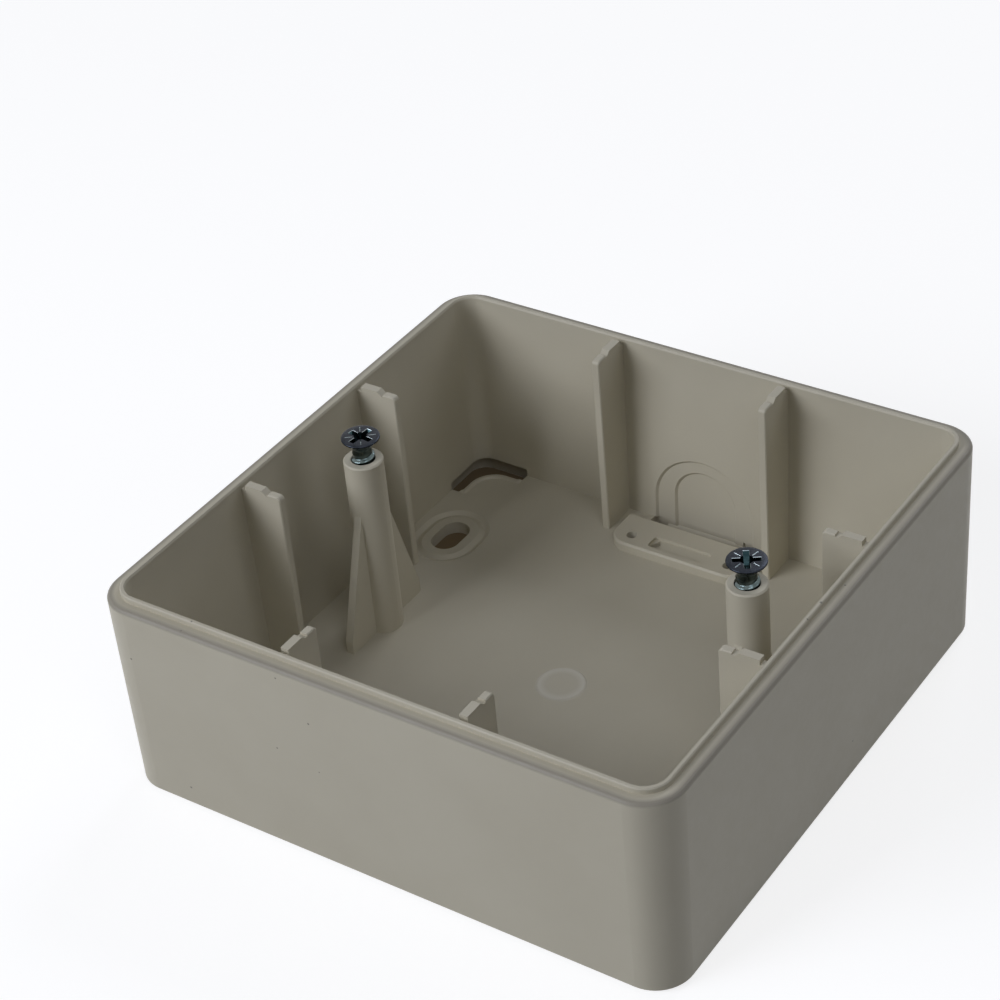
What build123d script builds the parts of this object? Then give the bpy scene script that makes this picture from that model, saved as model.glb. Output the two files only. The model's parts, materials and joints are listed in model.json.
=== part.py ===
from build123d import *

import os
from math import cos, radians, sin, tan

# Surface mount back box, open side up: origin at the centre of the underside, +Z out of the wall.
# +X and -X are the two walls beside the screw posts. All sizes in millimetres.

# Moulding
box_width = 86.0            # across the rim, both ways
box_depth = 32.0            # underside to the top of the lip
corner_radius = 5.5         # outside corners at the rim
wall_thickness = 2.5        # at the rim
floor_thickness = 2.0
outer_draft = 0.55          # degrees, walls lean in towards the underside
inner_draft = 1.45          # degrees, walls thicken towards the floor
base_edge_chamfer = 0.6

# Stepped rim
ledge_width = 1.8
lip_height = 0.8
ledge_edge_bevel = 0.4      # eased in three flats
ledge_edge_ease = 0.12
lip_edge_chamfer = 0.15
lip_edge_taper = 30.0       # degrees, the inside edge's slope

# Fins on the walls
fin_thickness = 1.2
fin_offset = 13.5           # from the middle of each wall
fin_reach = 6.65            # from the inside of the rim to the free edge
fin_top_gap = 0.1           # plateau below the top of the lip
fin_root_notch = 0.8        # width and depth of the notch beside the lip
fin_plateau = 3.6           # from the inside of the rim to the end of the plateau
fin_valley_depth = 0.6
fin_valley_width = 0.4
fin_slope = 0.7
fin_nub_height = 0.3        # above the valley
fin_nose_radius = 0.7
fin_edge_chamfer = 0.15

# Screw posts
screw_centres = 60.3
post_diameter = 5.6
post_gap = 1.3              # post top below the top of the lip
post_edge_chamfer = 0.2
gusset_thickness = 1.2
gusset_reach = 8.3          # from the post's axis to the toe
gusset_toe_height = 2.0     # above the floor
gusset_rise = 21.2          # above the floor, on the post
thread_bore = 3.5           # formed thread, at its outer diameter
thread_depth = 22.0
pilot_bore = 2.9

# Lid screws
thread_clearance = 0.05     # radial, screw thread in the post
head_diameter = 5.5
head_rim = 0.3
neck_diameter = 2.8
neck_length = 0.5
screw_length = 20.0
tip_length = 0.8
screw_stand = 3.7           # head top above the post, screw not driven home
recess_width = 3.0
recess_slot = 0.75
recess_depth = 1.1
recess_taper = 6.0          # degrees

# Underside panel
panel_border = 3.1
panel_depth = 0.3

# Fixing slots through the floor
slot_length = 7.0
slot_width = 4.4
slot_ring = 1.6             # raised ring round the slot, on the underside
slot_moat_gap = 1.4         # slot to groove, on the floor inside
slot_moat_width = 1.6
slot_moat_depth = 0.4
slot_moat_taper = 60.0      # degrees, the groove's sloping sides
slot_a_inset = (9.7, 21.5)      # from the rim, slot along X at the +X -Y corner
slot_b_inset = (9.7, 21.5)      # from the rim, slot along Y at the -X +Y corner

# Round knockouts, cut from the underside
knockout_radius = 10.2
knockout_offset = 15.2
knockout_groove = 1.2
knockout_root = 0.4
knockout_skin = 0.8

# Floor pads beside the +Y and -Y walls
pad_length = 22.6
pad_width = 6.8
pad_height = 1.5
pad_front_radius = 3.2
pad_edge_chamfer = 0.3
pad_pocket = (9.6, 2.6)
pad_pocket_depth = 0.5
pad_notch = 1.9
pad_notch_depth = 1.2
pad_hole_spacing = 16.2
pad_hole_inset = 2.4        # from the front edge of the pad
pad_hole_diameter = 1.6
pad_counterbore = 4.2
pad_counterbore_depth = 2.0
pad_dimple_diameter = 3.0
pad_dimple_depth = 1.3
pad_dimple_inset = 0.5

# Cable slots through the floor at the foot of the +Y and -Y walls
edge_slot_length = 17.2
edge_slot_width = 2.9
edge_slot_step = (2.2, 0.6)
edge_slot_bite = 0.05       # how far the slots run into the wall's foot

# L-shaped cable entry in the -X +Y corner
entry_skin = 1.6            # wall left outside it at the rim's width
entry_width = 3.5
entry_arm = 10.0
entry_radius = 2.6          # outside corner
entry_inner_radius = 4.0
entry_end_radius = 0.8
entry_relief = 1.2          # how far it runs up into the wall above the floor
entry_bead_width = 0.7      # low bead round it on the floor
entry_bead_height = 0.3
entry_bead_taper = 40.0     # degrees, the bead's sloping sides

# Arched wall knockouts, one recess inside another in each of the +Y and -Y walls
arch_radii = (8.3, 5.15)
arch_tops = (12.2, 10.1)    # above the floor
arch_step = 0.35            # depth of each recess
arch_taper = 45.0           # degrees, the sloping edge of each recess
arch_foot = 1.1             # how far they run down beside the cable slot, below the floor

# Moulding gate at the middle of the floor
gate_diameter = 5.0
gate_depth = 0.9
gate_stub_diameter = 1.8
gate_stub_height = 0.4
gate_mark_diameter = 7.2
gate_mark_height = 0.15
gate_mark_taper = 60.0       # degrees, the sloping rim of the mark

# Places worked out from the sizes above
half_width = box_width / 2
ledge_height = box_depth - lip_height
inside_half = half_width - wall_thickness
foot_half = inside_half - (box_depth - floor_thickness) * tan(radians(inner_draft))
fin_top = box_depth - fin_top_gap
post_top = box_depth - post_gap
overlap = 0.5               # how far an added form reaches into what carries it
edge_slot_front = foot_half + edge_slot_bite - edge_slot_width
pad_front = edge_slot_front - pad_width
pad_top = floor_thickness + pad_height
pad_hole_row = pad_front + pad_hole_inset
entry_outside = half_width - entry_skin
thread_radius = thread_bore / 2 - thread_clearance
neck_start = (neck_diameter - head_diameter) / 2 - head_rim
thread_start = neck_start - neck_length
inner_face = Plane(
    origin=(0, foot_half, floor_thickness),
    x_dir=(1, 0, 0),
    z_dir=(0, -cos(radians(inner_draft)), sin(radians(inner_draft))),
)
slot_a = (half_width - slot_a_inset[0], slot_a_inset[1] - half_width)
slot_b = (slot_b_inset[0] - half_width, half_width - slot_b_inset[1])

os.makedirs("parts", exist_ok=True)


# One fin, on the +X wall, in the plane y = 0
with BuildPart() as fin:
    with BuildSketch(Plane.XZ) as fin_profile:
        with BuildLine():
            fin_root = inside_half + overlap
            notch_end = inside_half - fin_root_notch
            plateau_end = inside_half - fin_plateau
            valley_start = plateau_end - fin_slope
            valley_end = valley_start - fin_valley_width
            fin_free = inside_half - fin_reach
            valley_top = fin_top - fin_valley_depth
            nub_top = valley_top + fin_nub_height
            Polyline(
                (fin_root, floor_thickness - overlap),
                (fin_root, fin_top - fin_root_notch),
                (notch_end, fin_top - fin_root_notch),
                (notch_end, fin_top),
                (plateau_end, fin_top),
                (valley_start, valley_top),
                (valley_end, valley_top),
                (valley_end, nub_top),
                (fin_free + fin_nose_radius, nub_top),
            )
            RadiusArc(
                (fin_free + fin_nose_radius, nub_top),
                (fin_free, nub_top - fin_nose_radius),
                -fin_nose_radius,
            )
            Polyline(
                (fin_free, nub_top - fin_nose_radius),
                (fin_free, floor_thickness - overlap),
                (fin_root, floor_thickness - overlap),
            )
        make_face()
    extrude(amount=fin_thickness / 2, both=True)
    free_edges = fin.edges().filter_by(Axis.Z).group_by(Axis.X)[0]
    chamfer(free_edges, fin_edge_chamfer)

# One screw post with its two gussets, on the Z axis
with BuildPart() as post:
    with BuildSketch(Plane.XY.offset(floor_thickness - overlap)):
        Circle(post_diameter / 2)
    extrude(amount=post_top - floor_thickness + overlap)
    chamfer(post.edges().group_by(Axis.Z)[-1], post_edge_chamfer)
    with BuildSketch(Plane.YZ):
        with BuildLine():
            gusset_foot = floor_thickness - overlap
            gusset_toe = floor_thickness + gusset_toe_height
            gusset_top = floor_thickness + gusset_rise
            Polyline(
                (0, gusset_foot),
                (gusset_reach, gusset_foot),
                (gusset_reach, gusset_toe),
                (post_diameter / 2 - overlap / 2, gusset_top),
                (0, gusset_top),
                close=True,
            )
        make_face()
        mirror(about=Plane.YZ)
    extrude(amount=gusset_thickness / 2, both=True)

# One floor pad, beside the +Y wall
with BuildPart() as pad:
    with BuildSketch(Plane.XY.offset(floor_thickness - overlap)):
        with Locations((0, pad_front + pad_width / 2)):
            Rectangle(pad_length, pad_width)
        fillet(vertices().group_by(Axis.Y)[0], pad_front_radius)
    extrude(amount=pad_height + overlap)
    pad_rim = pad.faces().sort_by(Axis.Z)[-1].edges().sort_by(Axis.Y)[:-1]
    chamfer(pad_rim, pad_edge_chamfer)
    with BuildSketch(Plane.XY.offset(pad_top)):
        with Locations((0, pad_hole_row)):
            RectangleRounded(pad_pocket[0], pad_pocket[1], pad_pocket[1] / 4)
    extrude(amount=-pad_pocket_depth, mode=Mode.SUBTRACT)
    with BuildSketch(Plane.XY.offset(pad_top)):
        with Locations((pad_notch / 2 - pad_pocket[0] / 2, pad_hole_row)):
            Triangle(a=pad_notch, b=pad_notch, c=pad_notch)
    extrude(amount=-pad_notch_depth, mode=Mode.SUBTRACT)

# Arched recesses to cut inside the +Y wall, drawn on its leaning inner face
with BuildPart() as arches:
    for step, (radius, top) in enumerate(zip(arch_radii, arch_tops)):
        with BuildSketch(inner_face.offset(-step * arch_step)):
            with BuildLine():
                Line((-radius, -arch_foot), (-radius, top - radius))
                RadiusArc((-radius, top - radius), (radius, top - radius), radius)
                Polyline((radius, top - radius), (radius, -arch_foot), (-radius, -arch_foot))
            make_face()
        extrude(amount=-arch_step, taper=arch_taper)

# Outline of the L-shaped cable entry in the -X +Y corner
with BuildSketch() as entry_outline:
    with BuildLine():
        Polyline(
            (-entry_outside, entry_outside - entry_arm),
            (-entry_outside, entry_outside),
            (entry_arm - entry_outside, entry_outside),
            (entry_arm - entry_outside, entry_outside - entry_width),
            (entry_width - entry_outside, entry_outside - entry_width),
            (entry_width - entry_outside, entry_outside - entry_arm),
            close=True,
        )
    make_face()
    fillet(vertices().sort_by_distance((-entry_outside, entry_outside, 0))[0], entry_radius)
    entry_inside = (entry_width - entry_outside, entry_outside - entry_width, 0)
    fillet(vertices().sort_by_distance(entry_inside)[0], entry_inner_radius)
    fillet(vertices().group_by(Axis.X)[-1], entry_end_radius)
    fillet(vertices().group_by(Axis.Y)[0], entry_end_radius)

# The housing, one moulding
with BuildPart() as box:
    # Drafted body
    with BuildSketch(Plane.XY.offset(ledge_height)):
        RectangleRounded(box_width, box_width, corner_radius)
    extrude(amount=-ledge_height, taper=outer_draft)
    chamfer(box.faces().sort_by(Axis.Z)[-1].edges(), ledge_edge_bevel)
    chamfer(box.faces().sort_by(Axis.Z)[-1].edges(), ledge_edge_ease)
    bevel_foot = ledge_height - ledge_edge_bevel
    bevel_foot_edges = box.edges().filter_by_position(Axis.Z, bevel_foot - 0.01, bevel_foot + 0.01)
    chamfer(bevel_foot_edges, ledge_edge_ease)
    chamfer(box.faces().sort_by(Axis.Z)[0].edges(), base_edge_chamfer)

    # Lip that steps up from the ledge
    with BuildSketch(Plane.XY.offset(ledge_height)):
        lip_width = box_width - 2 * ledge_width
        RectangleRounded(lip_width, lip_width, corner_radius - ledge_width)
    extrude(amount=lip_height)
    chamfer(box.faces().sort_by(Axis.Z)[-1].edges(), lip_edge_chamfer)

    # Drafted hollow, with the lip's inside edge taken off
    with BuildSketch(Plane.XY.offset(box_depth)):
        RectangleRounded(2 * inside_half, 2 * inside_half, corner_radius - wall_thickness)
    extrude(amount=floor_thickness - box_depth, taper=inner_draft, mode=Mode.SUBTRACT)
    with BuildSketch(Plane.XY.offset(box_depth)):
        mouth_width = 2 * (inside_half + lip_edge_chamfer)
        mouth_radius = corner_radius - wall_thickness + lip_edge_chamfer
        RectangleRounded(mouth_width, mouth_width, mouth_radius)
    extrude(amount=-2 * lip_edge_chamfer, taper=lip_edge_taper, mode=Mode.SUBTRACT)

    # Panel that stands back from the border of the underside
    with BuildSketch():
        Rectangle(2 * (half_width - panel_border), 2 * (half_width - panel_border))
        with Locations(slot_a):
            SlotOverall(slot_length + 2 * slot_ring, slot_width + 2 * slot_ring, mode=Mode.SUBTRACT)
        with Locations(slot_b):
            SlotOverall(
                slot_length + 2 * slot_ring,
                slot_width + 2 * slot_ring,
                rotation=90,
                mode=Mode.SUBTRACT,
            )
    extrude(amount=panel_depth, mode=Mode.SUBTRACT)

    # Fins, two on each wall
    with PolarLocations(0, 4):
        with Locations((0, -fin_offset), (0, fin_offset)):
            add(fin.part)

    # Screw posts
    with Locations((-screw_centres / 2, 0), (screw_centres / 2, 0)):
        add(post.part)

    # Floor pads
    with PolarLocations(0, 2):
        add(pad.part)

    # Bores down the posts: thread above, pilot hole on through the floor
    with BuildSketch(Plane.XY.offset(post_top)):
        with Locations((-screw_centres / 2, 0), (screw_centres / 2, 0)):
            Circle(thread_bore / 2)
    extrude(amount=-thread_depth, mode=Mode.SUBTRACT)
    with BuildSketch():
        with Locations((-screw_centres / 2, 0), (screw_centres / 2, 0)):
            Circle(pilot_bore / 2)
    extrude(amount=post_top, mode=Mode.SUBTRACT)

    # Fixing slots, each with a shallow groove round it on the floor
    with BuildSketch(Plane.XY.offset(floor_thickness)):
        for place, turn in ((slot_a, 0), (slot_b, 90)):
            with Locations(place):
                moat_inside = 2 * slot_moat_gap
                moat_outside = 2 * (slot_moat_gap + slot_moat_width)
                SlotOverall(slot_length + moat_outside, slot_width + moat_outside, rotation=turn)
                SlotOverall(
                    slot_length + moat_inside,
                    slot_width + moat_inside,
                    rotation=turn,
                    mode=Mode.SUBTRACT,
                )
    extrude(amount=-slot_moat_depth, taper=slot_moat_taper, mode=Mode.SUBTRACT)
    with BuildSketch():
        with Locations(slot_a):
            SlotOverall(slot_length, slot_width)
        with Locations(slot_b):
            SlotOverall(slot_length, slot_width, rotation=90)
    extrude(amount=floor_thickness, mode=Mode.SUBTRACT)

    # Round knockouts
    for middle in (-knockout_offset, knockout_offset):
        with BuildSketch(Plane.XZ.offset(-middle)):
            with BuildLine():
                Polyline(
                    (knockout_radius, 0),
                    (knockout_radius, floor_thickness - knockout_skin),
                    (knockout_radius - knockout_root, floor_thickness - knockout_skin),
                    (knockout_radius - knockout_groove, 0),
                    close=True,
                )
            make_face()
        revolve(axis=Axis((0, middle, 0), (0, 0, 1)), mode=Mode.SUBTRACT)

    # Stepped holes up through the pads, and a dimple between each pair
    with BuildSketch():
        with GridLocations(pad_hole_spacing, 2 * pad_hole_row, 2, 2):
            Circle(pad_counterbore / 2)
    extrude(amount=pad_counterbore_depth, mode=Mode.SUBTRACT)
    with BuildSketch():
        with GridLocations(pad_hole_spacing, 2 * pad_hole_row, 2, 2):
            Circle(pad_hole_diameter / 2)
    extrude(amount=pad_top, mode=Mode.SUBTRACT)
    with GridLocations(0, 2 * (pad_front + pad_dimple_inset), 1, 2):
        Cone(
            pad_dimple_diameter / 2,
            0,
            pad_dimple_depth,
            align=(Align.CENTER, Align.CENTER, Align.MIN),
            mode=Mode.SUBTRACT,
        )

    # Cable slots at the foot of the +Y and -Y walls, stepped out at both ends
    with BuildSketch():
        with GridLocations(0, 2 * edge_slot_front + edge_slot_width, 1, 2):
            Rectangle(edge_slot_length, edge_slot_width)
        with GridLocations(edge_slot_length - edge_slot_step[0], 2 * foot_half, 2, 2):
            Rectangle(edge_slot_step[0], 2 * edge_slot_step[1])
    extrude(amount=floor_thickness, mode=Mode.SUBTRACT)

    # L-shaped cable entry, with a low bead round it on the floor
    with BuildSketch(Plane.XY.offset(floor_thickness)):
        add(entry_outline.sketch)
        offset(amount=entry_bead_width)
        with Locations((-entry_outside, entry_outside)):
            Rectangle(2 * entry_arm, 2 * entry_arm, mode=Mode.INTERSECT)
    extrude(amount=entry_bead_height, taper=entry_bead_taper)
    with BuildSketch():
        add(entry_outline.sketch)
    extrude(amount=floor_thickness + entry_relief, mode=Mode.SUBTRACT)

    # Arched knockout recesses inside the +Y and -Y walls
    with PolarLocations(0, 2):
        add(arches.part, mode=Mode.SUBTRACT)

    # Moulding gate: a dish with a short stub below, a round witness mark above
    with BuildSketch():
        Circle(gate_diameter / 2)
    extrude(amount=gate_depth, mode=Mode.SUBTRACT)
    with BuildSketch(Plane.XY.offset(gate_depth)):
        Circle(gate_stub_diameter / 2)
    extrude(amount=-gate_stub_height)
    with BuildSketch(Plane.XY.offset(floor_thickness)):
        Circle(gate_mark_diameter / 2)
    extrude(amount=gate_mark_height, taper=gate_mark_taper)

# One lid screw on the Z axis, head top at z = 0
with BuildPart() as screw:
    with BuildSketch(Plane.XZ):
        with BuildLine():
            Polyline(
                (0, 0),
                (head_diameter / 2, 0),
                (head_diameter / 2, -head_rim),
                (neck_diameter / 2, neck_start),
                (neck_diameter / 2, thread_start),
                (thread_radius, thread_start),
                (thread_radius, tip_length - screw_length),
                (thread_radius - tip_length / 2, -screw_length),
                (0, -screw_length),
                close=True,
            )
        make_face()
    revolve(axis=Axis.Z)
    with BuildSketch():
        Rectangle(recess_width, recess_slot)
        Rectangle(recess_slot, recess_width)
    extrude(amount=-recess_depth, taper=recess_taper, mode=Mode.SUBTRACT)

# The two screws, standing part way out of their posts
with BuildPart() as screw_left:
    with Locations((-screw_centres / 2, 0, post_top + screw_stand)):
        add(screw.part)

with BuildPart() as screw_right:
    with Locations((screw_centres / 2, 0, post_top + screw_stand)):
        add(screw.part)

box.part.label = "box"
screw_left.part.label = "screw_left"
screw_right.part.label = "screw_right"
export_step(box.part, "parts/box.step")
export_step(screw_left.part, "parts/screw_left.step")
export_step(screw_right.part, "parts/screw_right.step")
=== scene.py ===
"""Looks of the surface mount box: moulded ivory housing and two zinc plated lid screws."""

import json
from math import cos, pi, radians, sin, tau

import bmesh
import bpy
from mathutils import Euler, Matrix, Vector

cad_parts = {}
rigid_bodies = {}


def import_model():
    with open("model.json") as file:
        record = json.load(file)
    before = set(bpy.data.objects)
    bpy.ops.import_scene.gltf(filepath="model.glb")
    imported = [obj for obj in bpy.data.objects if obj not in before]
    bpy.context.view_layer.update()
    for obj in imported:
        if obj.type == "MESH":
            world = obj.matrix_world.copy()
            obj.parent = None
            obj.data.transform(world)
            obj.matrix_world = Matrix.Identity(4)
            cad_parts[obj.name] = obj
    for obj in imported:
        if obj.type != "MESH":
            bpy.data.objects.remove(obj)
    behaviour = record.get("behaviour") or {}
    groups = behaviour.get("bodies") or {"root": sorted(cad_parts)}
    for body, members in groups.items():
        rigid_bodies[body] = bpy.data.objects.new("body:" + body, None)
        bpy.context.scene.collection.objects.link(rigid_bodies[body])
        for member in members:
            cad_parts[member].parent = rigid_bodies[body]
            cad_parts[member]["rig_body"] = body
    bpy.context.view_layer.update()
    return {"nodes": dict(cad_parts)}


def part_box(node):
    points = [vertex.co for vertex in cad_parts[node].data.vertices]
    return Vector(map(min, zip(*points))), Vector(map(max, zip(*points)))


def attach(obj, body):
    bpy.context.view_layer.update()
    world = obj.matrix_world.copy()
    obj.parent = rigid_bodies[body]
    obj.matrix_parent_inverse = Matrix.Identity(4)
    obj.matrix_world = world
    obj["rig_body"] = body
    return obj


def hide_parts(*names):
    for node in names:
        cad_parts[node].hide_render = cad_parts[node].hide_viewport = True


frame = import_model()

MM = 0.001

# Camera, solved from the photograph's edges on an 86 mm rim
CAMERA_EYE = (164.5, -231.3, 238.3)     # millimetres
CAMERA_HEADING = 126.63                 # degrees from +X, the way it looks
CAMERA_DOWN = 35.71
CAMERA_ROLL = 5.52
CAMERA_LENS = 95.76                     # on the sensor's width
CAMERA_SENSOR = 36.0

# Soft lamps aimed at the box: name, heading and height in degrees, distance and width in metres,
# and watts
LAMPS = (
    ("key", -116.0, 32.0, 0.80, 0.33, 3.1),
    ("low_left", -138.0, 26.0, 0.75, 0.21, 0.95),
    ("fill", -40.0, 50.0, 1.1, 0.50, 1.7),
    ("side", 20.0, 22.0, 1.1, 0.50, 1.15),
    ("back", 90.0, 40.0, 1.1, 0.50, 3.2),
)
LAMP_AIM = 15.0                         # millimetres above the floor, at the middle of the box
LAMP_TINT = (0.87, 0.90, 1.0)           # daylight, a touch cool
SKY_LEVEL = 0.01

# Floor, in millimetres unless it says otherwise
FLOOR_REACH = 2.0                       # metres from the middle to each side
FLOOR_DROP = 0.02                       # below the box, so that their faces don't meet
FLOOR_GLOW = 0.78
FLOOR_PALE = (0.35, 0.35, 0.35)
FLOOR_SHADE_UNDER_BOX = (0.21, 0.155, 0.09)     # painted shade, seen only through the slots in the box's floor
FOOTPRINT = 41.5                        # half the side of the floor that the box covers
FOOTPRINT_CORNER = 81.3                 # x and y together, where its corners are cut off

# Ivory plastic: its cloudy colour lies between two, and its marks have one each: painted shade
# along the rim's ledge, a painted highlight on the gate mark, dark specks
IVORY_DARK = (0.497, 0.459, 0.356)
IVORY_PALE = (0.527, 0.490, 0.384)
# darker colour of the painted shade along the rim's ledge
IVORY_RIM_SHADE = (0.300, 0.275, 0.220)
# colour of the gate mark, palest at its raised edge as a painted highlight
IVORY_GATE_HIGHLIGHT = (0.60, 0.57, 0.48)
IVORY_SPECK = (0.24, 0.22, 0.18)
IVORY_ROUGHNESS = (0.38, 0.48)
GRAIN_HEIGHT = 0.02                     # millimetres

# Zinc plating: name, dark and pale colour, least and most roughness, in the order of the finishes
ZINC_FINISHES = (
    ("zinc_plate", (0.055, 0.076, 0.077), (0.13, 0.165, 0.166), 0.06, 0.18),
    # head's top and rim: the same zinc made darker, a painted dark reflection
    ("zinc_plate_head_dark_reflection", (0.017, 0.020, 0.026), (0.028, 0.032, 0.041), 0.24, 0.34),
    # recess: the same zinc made darker, painted shade
    ("zinc_plate_recess_shade", (0.010, 0.021, 0.023), (0.026, 0.046, 0.050), 0.15, 0.35),
    # recess edge and grooves: the same zinc made paler, painted glints
    ("zinc_plate_edge_glint", (0.16, 0.19, 0.20), (0.34, 0.38, 0.39), 0.15, 0.28),
)
# BODY is the zinc's own colour; HEAD is painted dark reflection, RECESS painted shade, EDGE
# painted glints
BODY, HEAD, RECESS, EDGE = range(4)
ZINC_MARK_HEIGHT = 0.01                 # millimetres

# Small dark specks where the photograph shows them: place and radius in millimetres
SPECKS = (
    (-37.56, -42.92, 23.3, 0.16),
    (-12.78, -42.98, 29.8, 0.13),
    (-8.56, -42.92, 24.0, 0.16),
    (-14.53, -42.86, 17.5, 0.13),
    (-8.06, -42.85, 16.1, 0.10),
    (-31.38, -42.73, 3.4, 0.16),
    (-34.60, -42.80, 31.2, 0.16),
    (-28.10, -42.40, 31.2, 0.13),
    (-27.36, -41.00, 32.0, 0.13),
    (41.57, 4.67, 31.2, 0.13),
    (41.00, -0.70, 32.0, 0.18),
    (41.05, -4.40, 31.9, 0.14),
    (42.80, 4.40, 6.0, 0.13),
)
SPECK_EDGE = 0.3                        # share of the radius over which a speck fades, each way

# Painted shade: a darker line along the outer edge of the rim's ledge, in millimetres
CORNER_CENTRE = 37.5                    # x and y of the rounded corners' centres
RIM_SHADE_REACH = (4.40, 5.0)                 # outwards from the corners' centres
RIM_SHADE_LEVEL = (30.6, 30.9)               # above the floor

# Gate mark in the middle of the floor, faintly paler, with a painted highlight along its raised
# edge, in millimetres
GATE_RADIUS = 3.6
GATE_LEVEL = 2.1
GATE_HIGHLIGHT_RAMP = ((0.0, 0.15), (0.30, 0.20), (0.42, 0.95), (0.47, 0.80), (0.52, 0.0))

# Lid screw, in millimetres below its head's top
HEAD_RADIUS = 2.72
HEAD_RIM = 0.28
HEAD_EASE = ((0.20, 0.0), (0.08, 0.03), (0.02, 0.09), (0.0, 0.18))  # inwards, down from the top
RIM_FOOT_EASE = ((0.02, 0.0), (0.10, 0.07))                         # inwards, down from the rim
CONE_FOOT_EASE = ((0.18, 0.18), (0.04, 0.02))                       # outwards, up from the foot
NECK_RADIUS = 1.36
THREAD_GAP = 0.1                        # plain neck above the threaded rings
THREAD_CREST = 1.69
THREAD_ROOT = 1.30
THREAD_PITCH = 1.25
THREAD_PHASE = -0.09                    # turns, sets where the thread's first crest shows
THREAD_FLANK = 0.30                     # turns from the crest's middle to its foot
THREAD_CREST_ROUND = 1.2                # above 1, how flat the crest is
THREAD_START = 2.75
THREAD_START_EARLY = 0.3                # the thread begins to rise this far above its start
THREAD_START_LENGTH = 0.5               # and takes this long
SCREW_LENGTH = 19.95
TIP_TAPER = 0.9
TIP_SHARE = (0.78, 0.22)                # of the radius: at the tip, and what the taper adds
SCREW_SIDES = 72
STEPS_PER_TURN = 20

# Cross recess, a round core in its middle and four fine grooves between its arms, in millimetres
RECESS_ARM = 1.86
RECESS_HALF_SLOT = 0.40
RECESS_DEPTH = 1.9
RECESS_EDGE = 0.045                     # edge round the recess; its faces take the paler zinc that paints glints
RECESS_TAPER = ((0.6, 0.64, 0.88), (0.8, 0.42, 0.8))  # shares of depth, arm and half slot
CORE_MOUTH = (1.05, 0.92)               # radius above the head and at its top
CORE_WAIST = (0.62, 0.7)                # radius, share of the recess's depth
CORE_TIP = 0.12
CORE_SIDES = 24
CUTTER_ABOVE = 0.5
TICK_INNER = 1.1
TICK_OUTER = 2.15
TICK_HALF_WIDTH = 0.07
TICK_DEPTH = 0.08
TICK_FOOT = (0.05, 0.02)                # shorter by, half width
TICK_ABOVE = 0.2

# Which faces of a screw take which finish, in millimetres
RIM_BAND = (0.35, 0.1)                  # in from the head's rim, down past it
CONE_BAND = 0.3                         # in from the head's cone
TOP_BAND = 0.02                         # down from the head's top
LEVEL_FACE = 0.98                       # least upward part of a level face's normal
SLOPING_FACE = 0.2                      # and of a sloping one's

SCREW_TURNS = {"screw_left": -7.0, "screw_right": 32.0}     # degrees


def new_material(name):
    material = bpy.data.materials.new(name)
    material.use_nodes = True
    nodes = material.node_tree.nodes
    return material, nodes, material.node_tree.links, nodes["Principled BSDF"]


def add_node(nodes, kind, **values):
    """A shader node with its settings and its unlinked inputs given by name."""
    node = nodes.new(kind)
    for key, value in values.items():
        if key in node.inputs:
            node.inputs[key].default_value = value
        else:
            setattr(node, key, value)
    return node


def add_math(nodes, links, operation, first, second=None, number=None):
    """One sum on one or two sockets, or on a socket and a number."""
    node = add_node(nodes, "ShaderNodeMath", operation=operation)
    links.new(first, node.inputs[0])
    if second is not None:
        links.new(second, node.inputs[1])
    if number is not None:
        node.inputs[1].default_value = number
    return node.outputs["Value"]


def add_noise(nodes, links, coords, scale, detail):
    noise = add_node(nodes, "ShaderNodeTexNoise", Scale=scale, Detail=detail, Roughness=0.5)
    links.new(coords, noise.inputs["Vector"])
    return noise.outputs["Fac"]


def add_range(nodes, links, value, low, high, to_low, to_high):
    """Carries a value from one range to another, clamped at its ends."""
    node = nodes.new("ShaderNodeMapRange")
    ends = {"From Min": low, "From Max": high, "To Min": to_low, "To Max": to_high}
    for name, number in ends.items():
        node.inputs[name].default_value = number
    links.new(value, node.inputs["Value"])
    return node.outputs["Result"]


def add_ramp(nodes, links, factor, stops):
    """A colour ramp from (position, colour) stops."""
    ramp = nodes.new("ShaderNodeValToRGB")
    elements = ramp.color_ramp.elements
    while len(elements) < len(stops):
        elements.new(0.5)
    for element, (position, colour) in zip(elements, stops):
        element.position = position
        element.color = (*colour, 1.0)
    links.new(factor, ramp.inputs["Fac"])
    return ramp.outputs["Color"]


def add_colour_mix(nodes, links, factor, first, second):
    """First colour to second by a factor; each is a socket or a plain colour."""
    node = add_node(nodes, "ShaderNodeMix", data_type="RGBA")
    links.new(factor, node.inputs[0])
    for place, colour in ((6, first), (7, second)):
        if isinstance(colour, tuple):
            node.inputs[place].default_value = (*colour, 1.0)
        else:
            links.new(colour, node.inputs[place])
    return node.outputs[2]


def add_bump(nodes, links, shader, height, strength, distance):
    """Fine relief on a shader from a height socket; the distance is in millimetres."""
    bump = add_node(nodes, "ShaderNodeBump", Strength=strength, Distance=distance * MM)
    links.new(height, bump.inputs["Height"])
    links.new(bump.outputs["Normal"], shader.inputs["Normal"])


def distance_from(nodes, links, coords, x, y, z):
    """Distance from a place that is given in millimetres."""
    far = add_node(nodes, "ShaderNodeVectorMath", operation="DISTANCE")
    far.inputs[1].default_value = (x * MM, y * MM, z * MM)
    links.new(coords, far.inputs[0])
    return far.outputs["Value"]


def speck_mask(nodes, links, coords):
    """1 on the small dark specks, 0 elsewhere."""
    mask = None
    for x, y, z, radius in SPECKS:
        far = distance_from(nodes, links, coords, x, y, z)
        inside = radius * MM * (1.0 - SPECK_EDGE)
        outside = radius * MM * (1.0 + SPECK_EDGE)
        spot = add_range(nodes, links, far, inside, outside, 1.0, 0.0)
        mask = add_math(nodes, links, "MAXIMUM", mask, spot) if mask else spot
    return mask


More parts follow.
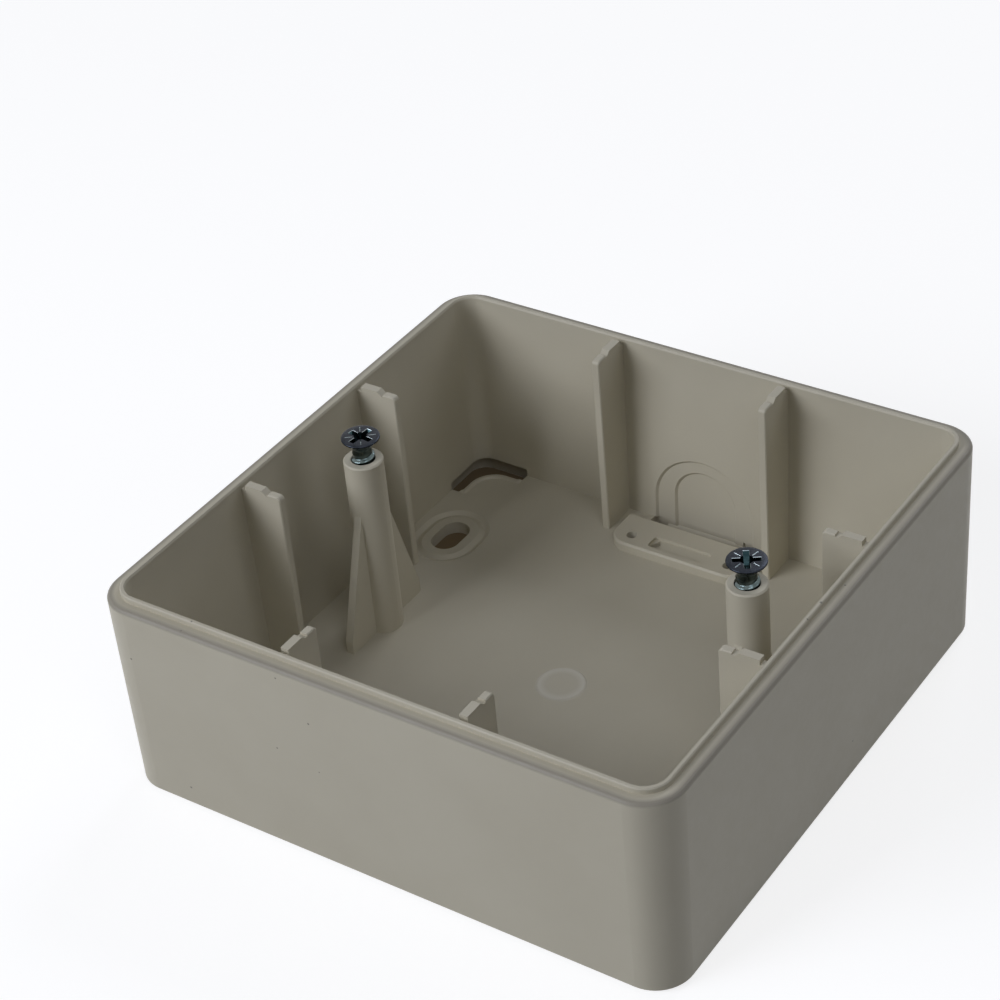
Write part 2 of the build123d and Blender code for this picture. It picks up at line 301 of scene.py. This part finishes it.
def gate_highlight(nodes, links, coords):
    """How pale the round gate mark in the middle of the floor is: faintly paler inside, and
    palest at its raised edge, where a highlight is painted.
    """
    far = distance_from(nodes, links, coords, 0.0, 0.0, GATE_LEVEL)
    across = add_range(nodes, links, far, 0.0, 2.0 * GATE_RADIUS * MM, 0.0, 1.0)
    stops = [(place, (level,) * 3) for place, level in GATE_HIGHLIGHT_RAMP]
    return add_ramp(nodes, links, across, stops)


def painted_rim_shade(nodes, links, coords):
    """1 along the outer edge of the rim's ledge, all the way round its corners, where shade is
    painted.
    """
    split = nodes.new("ShaderNodeSeparateXYZ")
    links.new(coords, split.inputs["Vector"])
    outwards = nodes.new("ShaderNodeCombineXYZ")
    for axis in "XY":
        side = add_math(nodes, links, "ABSOLUTE", split.outputs[axis])
        past = add_math(nodes, links, "SUBTRACT", side, number=CORNER_CENTRE * MM)
        links.new(add_math(nodes, links, "MAXIMUM", past, number=0.0), outwards.inputs[axis])
    reach = add_node(nodes, "ShaderNodeVectorMath", operation="LENGTH")
    links.new(outwards.outputs["Vector"], reach.inputs[0])
    near, far = (value * MM for value in RIM_SHADE_REACH)
    low, high = (value * MM for value in RIM_SHADE_LEVEL)
    across = add_range(nodes, links, reach.outputs["Value"], near, far, 0.0, 1.0)
    above = add_range(nodes, links, split.outputs["Z"], low, high, 0.0, 1.0)
    return add_math(nodes, links, "MULTIPLY", across, above)


def moulded_plastic():
    """Ivory moulded plastic: faint cloudy colour, fine spark-eroded grain and its marks, among
    them painted shade along the rim's ledge and a painted highlight on the gate mark.
    """
    material, nodes, links, shader = new_material("ivory_moulding")
    coords = nodes.new("ShaderNodeTexCoord").outputs["Object"]
    cloud = add_noise(nodes, links, coords, scale=60.0, detail=4.0)
    colour = add_ramp(nodes, links, cloud, [(0.30, IVORY_DARK), (0.70, IVORY_PALE)])
    # painted shade on the rim's ledge and a painted highlight on the gate mark are mixed in here,
    # with the specks
    for mark, mark_colour in (
        (painted_rim_shade, IVORY_RIM_SHADE),
        (gate_highlight, IVORY_GATE_HIGHLIGHT),
        (speck_mask, IVORY_SPECK),
    ):
        mask = mark(nodes, links, coords)
        colour = add_colour_mix(nodes, links, mask, colour, mark_colour)
    links.new(colour, shader.inputs["Base Color"])
    sheen = add_noise(nodes, links, coords, scale=900.0, detail=2.0)
    roughness = add_range(nodes, links, sheen, 0.3, 0.7, *IVORY_ROUGHNESS)
    links.new(roughness, shader.inputs["Roughness"])
    grain = add_noise(nodes, links, coords, scale=3500.0, detail=2.0)
    add_bump(nodes, links, shader, grain, 0.12, GRAIN_HEIGHT)
    shader.inputs["IOR"].default_value = 1.49
    shader.inputs["Specular IOR Level"].default_value = 0.2
    return material


def zinc_plate(name, dark, pale, rough_low, rough_high):
    """Blue-grey zinc plated steel with fine handling marks, between two colours."""
    material, nodes, links, shader = new_material(name)
    coords = nodes.new("ShaderNodeTexCoord").outputs["Object"]
    patches = add_noise(nodes, links, coords, scale=900.0, detail=4.0)
    colour = add_ramp(nodes, links, patches, [(0.35, dark), (0.65, pale)])
    links.new(colour, shader.inputs["Base Color"])
    shader.inputs["Metallic"].default_value = 1.0
    marks = add_noise(nodes, links, coords, scale=5000.0, detail=3.0)
    roughness = add_range(nodes, links, marks, 0.3, 0.7, rough_low, rough_high)
    links.new(roughness, shader.inputs["Roughness"])
    add_bump(nodes, links, shader, marks, 0.15, ZINC_MARK_HEIGHT)
    return material


def seen_rays(nodes, links):
    """1 for the rays that look at a thing: straight, in a reflection or through a clear piece."""
    rays = nodes.new("ShaderNodeLightPath").outputs
    straight = add_math(nodes, links, "MAXIMUM", rays["Is Camera Ray"], rays["Is Glossy Ray"])
    return add_math(nodes, links, "MAXIMUM", straight, rays["Is Transmission Ray"])


def pale_floor():
    """Matt floor that looks like white paper and keeps the shadow; painted brown shade where the
    box stands.
    """
    material, nodes, links, shader = new_material("pale_floor")
    coords = nodes.new("ShaderNodeTexCoord").outputs["Object"]
    split = nodes.new("ShaderNodeSeparateXYZ")
    links.new(coords, split.inputs["Vector"])
    across = add_math(nodes, links, "ABSOLUTE", split.outputs["X"])
    along = add_math(nodes, links, "ABSOLUTE", split.outputs["Y"])
    reach = add_math(nodes, links, "MAXIMUM", across, along)
    both_ways = add_math(nodes, links, "ADD", across, along)
    beside = add_math(nodes, links, "GREATER_THAN", reach, number=FOOTPRINT * MM)
    past_corner = add_math(nodes, links, "GREATER_THAN", both_ways, number=FOOTPRINT_CORNER * MM)
    clear = add_math(nodes, links, "MAXIMUM", beside, past_corner)
    # painted shade: dark brown where the box covers the floor, pale elsewhere
    colour = add_colour_mix(nodes, links, clear, FLOOR_SHADE_UNDER_BOX, FLOOR_PALE)
    links.new(colour, shader.inputs["Base Color"])
    shader.inputs["Roughness"].default_value = 1.0
    shader.inputs["Specular IOR Level"].default_value = 0.0
    glow = add_node(nodes, "ShaderNodeEmission", Strength=FLOOR_GLOW)
    both = nodes.new("ShaderNodeAddShader")
    mix = nodes.new("ShaderNodeMixShader")
    links.new(shader.outputs["BSDF"], both.inputs[0])
    links.new(glow.outputs["Emission"], both.inputs[1])
    factor = add_math(nodes, links, "MULTIPLY", seen_rays(nodes, links), clear)
    links.new(factor, mix.inputs["Fac"])
    links.new(shader.outputs["BSDF"], mix.inputs[1])
    links.new(both.outputs["Shader"], mix.inputs[2])
    links.new(mix.outputs["Shader"], nodes["Material Output"].inputs["Surface"])
    return material


def mesh_object(name, bm, smooth_angle=32.0):
    mesh = bpy.data.meshes.new(name)
    bm.to_mesh(mesh)
    bm.free()
    mesh.shade_smooth()
    mesh.set_sharp_from_angle(angle=radians(smooth_angle))
    piece = bpy.data.objects.new(name, mesh)
    bpy.context.scene.collection.objects.link(piece)
    return piece


def ring_surface(bm, rings):
    """Joins rings of points, given from the top down, into a closed skin."""
    verts = [[bm.verts.new(point) for point in ring] for ring in rings]
    count = len(verts[0])
    for above, below in zip(verts, verts[1:]):
        for i in range(count):
            j = (i + 1) % count
            bm.faces.new((above[i], below[i], below[j], above[j]))
    bm.faces.new(verts[0])
    bm.faces.new(list(reversed(verts[-1])))


def turned_ring(radius_at, depth, count):
    """One ring about the Z axis; its radius is given for each turn from 0 to 1."""
    ring = []
    for i in range(count):
        radius = radius_at(i / count)
        angle = tau * i / count
        ring.append((radius * cos(angle) * MM, radius * sin(angle) * MM, -depth * MM))
    return ring


def round_ring(radius, depth, count):
    return turned_ring(lambda turn: radius, depth, count)


def thread_radius(turn, depth):
    """Radius of the right-hand thread at a turn and a depth: flat roots, rounded crests."""
    phase = (depth / THREAD_PITCH + turn + THREAD_PHASE) % 1.0
    rise = max(0.0, 1.0 - abs(phase - 0.5) / THREAD_FLANK)
    crest = min(1.0, THREAD_CREST_ROUND * rise)
    past_start = depth - THREAD_START + THREAD_START_EARLY
    start = min(1.0, max(0.0, past_start / THREAD_START_LENGTH))
    end = min(1.0, max(0.0, (SCREW_LENGTH - depth) / TIP_TAPER))
    root = NECK_RADIUS + (THREAD_ROOT - NECK_RADIUS) * start
    radius = root + (THREAD_CREST - THREAD_ROOT) * crest * start
    tip, taper = TIP_SHARE
    return radius * (tip + taper * end)


def screw_blank():
    """Countersunk head with a softened rim, a short neck and the threaded shank, in one skin."""
    cone_foot = HEAD_RIM + HEAD_RADIUS - NECK_RADIUS
    profile = [(HEAD_RADIUS - inwards, down) for inwards, down in HEAD_EASE]
    profile += [(HEAD_RADIUS - inwards, HEAD_RIM + down) for inwards, down in RIM_FOOT_EASE]
    profile += [(NECK_RADIUS + outwards, cone_foot - up) for outwards, up in CONE_FOOT_EASE]
    rings = [round_ring(radius, depth, SCREW_SIDES) for radius, depth in profile]
    top = cone_foot + THREAD_GAP
    steps = int((SCREW_LENGTH - top) / THREAD_PITCH * STEPS_PER_TURN)
    for k in range(steps + 1):
        depth = top + (SCREW_LENGTH - top) * k / steps
        rings.append(turned_ring(lambda turn: thread_radius(turn, depth), depth, SCREW_SIDES))
    bm = bmesh.new()
    ring_surface(bm, rings)
    return mesh_object("screw_form", bm)


def bar_rings(sections, turn):
    """Rings of a flat bar along a turned X axis, from (depth, inner, outer, half width)."""
    rings = []
    for depth, inner, outer, half in sections:
        corners = ((inner, -half), (outer, -half), (outer, half), (inner, half))
        rings.append([turn @ Vector((x * MM, y * MM, -depth * MM)) for x, y in corners])
    return rings


def recess_cutter():
    """Cross recess with a round core, tapering as it goes down, and the grooves between arms."""
    widest = (RECESS_ARM + RECESS_EDGE, RECESS_HALF_SLOT + RECESS_EDGE)
    sections = [(-CUTTER_ABOVE, *widest), (0.0, *widest)]
    sections.append((RECESS_EDGE, RECESS_ARM, RECESS_HALF_SLOT))
    for down, long, wide in RECESS_TAPER:
        sections.append((down * RECESS_DEPTH, long * RECESS_ARM, wide * RECESS_HALF_SLOT))
    arms = [(depth, -arm, arm, half) for depth, arm, half in sections]
    bm = bmesh.new()
    for quarter in range(2):
        ring_surface(bm, bar_rings(arms, Matrix.Rotation(quarter * pi / 2, 3, "Z")))

    above, mouth = CORE_MOUTH
    waist, waist_share = CORE_WAIST
    core = [(above, -CUTTER_ABOVE), (mouth, 0.0)]
    core += [(waist, waist_share * RECESS_DEPTH), (CORE_TIP, RECESS_DEPTH)]
    ring_surface(bm, [round_ring(radius, depth, CORE_SIDES) for radius, depth in core])

    shorter, foot_half_width = TICK_FOOT
    groove = [
        (-TICK_ABOVE, TICK_INNER, TICK_OUTER, TICK_HALF_WIDTH),
        (0.0, TICK_INNER, TICK_OUTER, TICK_HALF_WIDTH),
        (TICK_DEPTH, TICK_INNER, TICK_OUTER - shorter, foot_half_width),
    ]
    for quarter in range(4):
        turn = Matrix.Rotation(pi / 4 + quarter * pi / 2, 3, "Z")
        ring_surface(bm, bar_rings(groove, turn))
    bmesh.ops.recalc_face_normals(bm, faces=bm.faces)
    return mesh_object("recess_form", bm)


def cut(piece, cutter):
    """Cuts one form out of another and deletes the cutter."""
    modifier = piece.modifiers.new("cut", "BOOLEAN")
    modifier.operation = "DIFFERENCE"
    modifier.solver = "EXACT"
    modifier.use_self = True
    modifier.object = cutter
    bpy.context.view_layer.update()
    shaped = piece.evaluated_get(bpy.context.evaluated_depsgraph_get())
    mesh = bpy.data.meshes.new_from_object(shaped)
    piece.modifiers.clear()
    piece.data = mesh
    bpy.data.objects.remove(cutter)
    return piece


def finish_of(face):
    """Which finish a face of the screw takes."""
    middle = face.calc_center_median() / MM
    radius = middle.xy.length
    inwards, down = RIM_BAND
    # the head's rim and flat top take the darker zinc that paints a dark reflection
    if radius > HEAD_RADIUS - inwards and middle.z > -HEAD_RIM - down:
        return HEAD
    on_cone = radius > HEAD_RADIUS + HEAD_RIM + middle.z - CONE_BAND
    if middle.z < -RECESS_DEPTH or on_cone:
        return BODY
    if middle.z > -TOP_BAND and face.normal.z > LEVEL_FACE:
        return HEAD
    # the recess's rim and grooves take the paler zinc that paints glints, the rest of the recess
    # the darker zinc that paints shade
    on_edge = middle.z > -TICK_DEPTH and face.normal.z > SLOPING_FACE
    return EDGE if on_edge else RECESS


def lid_screw(node, turn, finishes):
    """One detailed lid screw in place of a plain one, turned about its own axis."""
    low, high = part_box(node)
    blank = cut(screw_blank(), recess_cutter())
    bm = bmesh.new()
    bm.from_mesh(blank.data)
    for face in bm.faces:
        face.material_index = finish_of(face)
    place = Matrix.Translation(((low.x + high.x) / 2, (low.y + high.y) / 2, high.z))
    bm.transform(place @ Matrix.Rotation(radians(turn), 4, "Z"))
    bpy.data.objects.remove(blank)
    screw = mesh_object(node + "_detail", bm, smooth_angle=40.0)
    for finish in finishes:
        screw.data.materials.append(finish)
    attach(screw, frame["nodes"][node]["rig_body"])
    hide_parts(node)


def dress_cad(node, material):
    """Gives a carried-over CAD node its procedural material."""
    piece = frame["nodes"][node]
    piece.data.materials.clear()
    piece.data.materials.append(material)


def add_lamp(name, heading, height, distance, size, power):
    light = bpy.data.lights.new(name, "AREA")
    light.size = size
    light.energy = power
    light.color = LAMP_TINT
    lamp = bpy.data.objects.new(name, light)
    turn, rise = radians(heading), radians(height)
    lamp.location = Vector((cos(turn) * cos(rise), sin(turn) * cos(rise), sin(rise))) * distance
    aim = Vector((0.0, 0.0, LAMP_AIM * MM)) - lamp.location
    lamp.rotation_euler = aim.to_track_quat("-Z", "Y").to_euler()
    bpy.context.scene.collection.objects.link(lamp)


def add_floor():
    bm = bmesh.new()
    bmesh.ops.create_grid(bm, x_segments=8, y_segments=8, size=FLOOR_REACH)
    floor = mesh_object("floor", bm)
    floor.location.z = -FLOOR_DROP * MM
    floor.data.materials.append(pale_floor())


def add_world():
    """White to the eye and in reflections, a faint grey sky to matt surfaces."""
    world = bpy.data.worlds.new("studio")
    world.use_nodes = True
    bpy.context.scene.world = world
    nodes, links = world.node_tree.nodes, world.node_tree.links
    sky = nodes["Background"]
    sky.inputs["Color"].default_value = (1.0, 1.0, 1.0, 1.0)
    sky.inputs["Strength"].default_value = SKY_LEVEL
    paper = nodes.new("ShaderNodeBackground")
    paper.inputs["Color"].default_value = (1.0, 1.0, 1.0, 1.0)
    mix = nodes.new("ShaderNodeMixShader")
    links.new(seen_rays(nodes, links), mix.inputs["Fac"])
    links.new(sky.outputs["Background"], mix.inputs[1])
    links.new(paper.outputs["Background"], mix.inputs[2])
    links.new(mix.outputs["Shader"], nodes["World Output"].inputs["Surface"])


def add_camera():
    data = bpy.data.cameras.new("camera")
    data.lens = CAMERA_LENS
    data.sensor_width = CAMERA_SENSOR
    data.clip_start = 0.01
    camera = bpy.data.objects.new("camera", data)
    camera.location = Vector(CAMERA_EYE) * MM
    tilt, heading = radians(90.0 - CAMERA_DOWN), radians(CAMERA_HEADING - 90.0)
    roll = Matrix.Rotation(radians(-CAMERA_ROLL), 3, "Z")
    camera.rotation_euler = (Euler((tilt, 0.0, heading)).to_matrix() @ roll).to_euler()
    bpy.context.scene.collection.objects.link(camera)
    bpy.context.scene.camera = camera


dress_cad("box", moulded_plastic())
zinc = [zinc_plate(*finish) for finish in ZINC_FINISHES]
for node, turn in SCREW_TURNS.items():
    lid_screw(node, turn, zinc)

add_floor()
add_world()
for lamp in LAMPS:
    add_lamp(*lamp)
add_camera()
bpy.context.scene.view_settings.view_transform = "Standard"
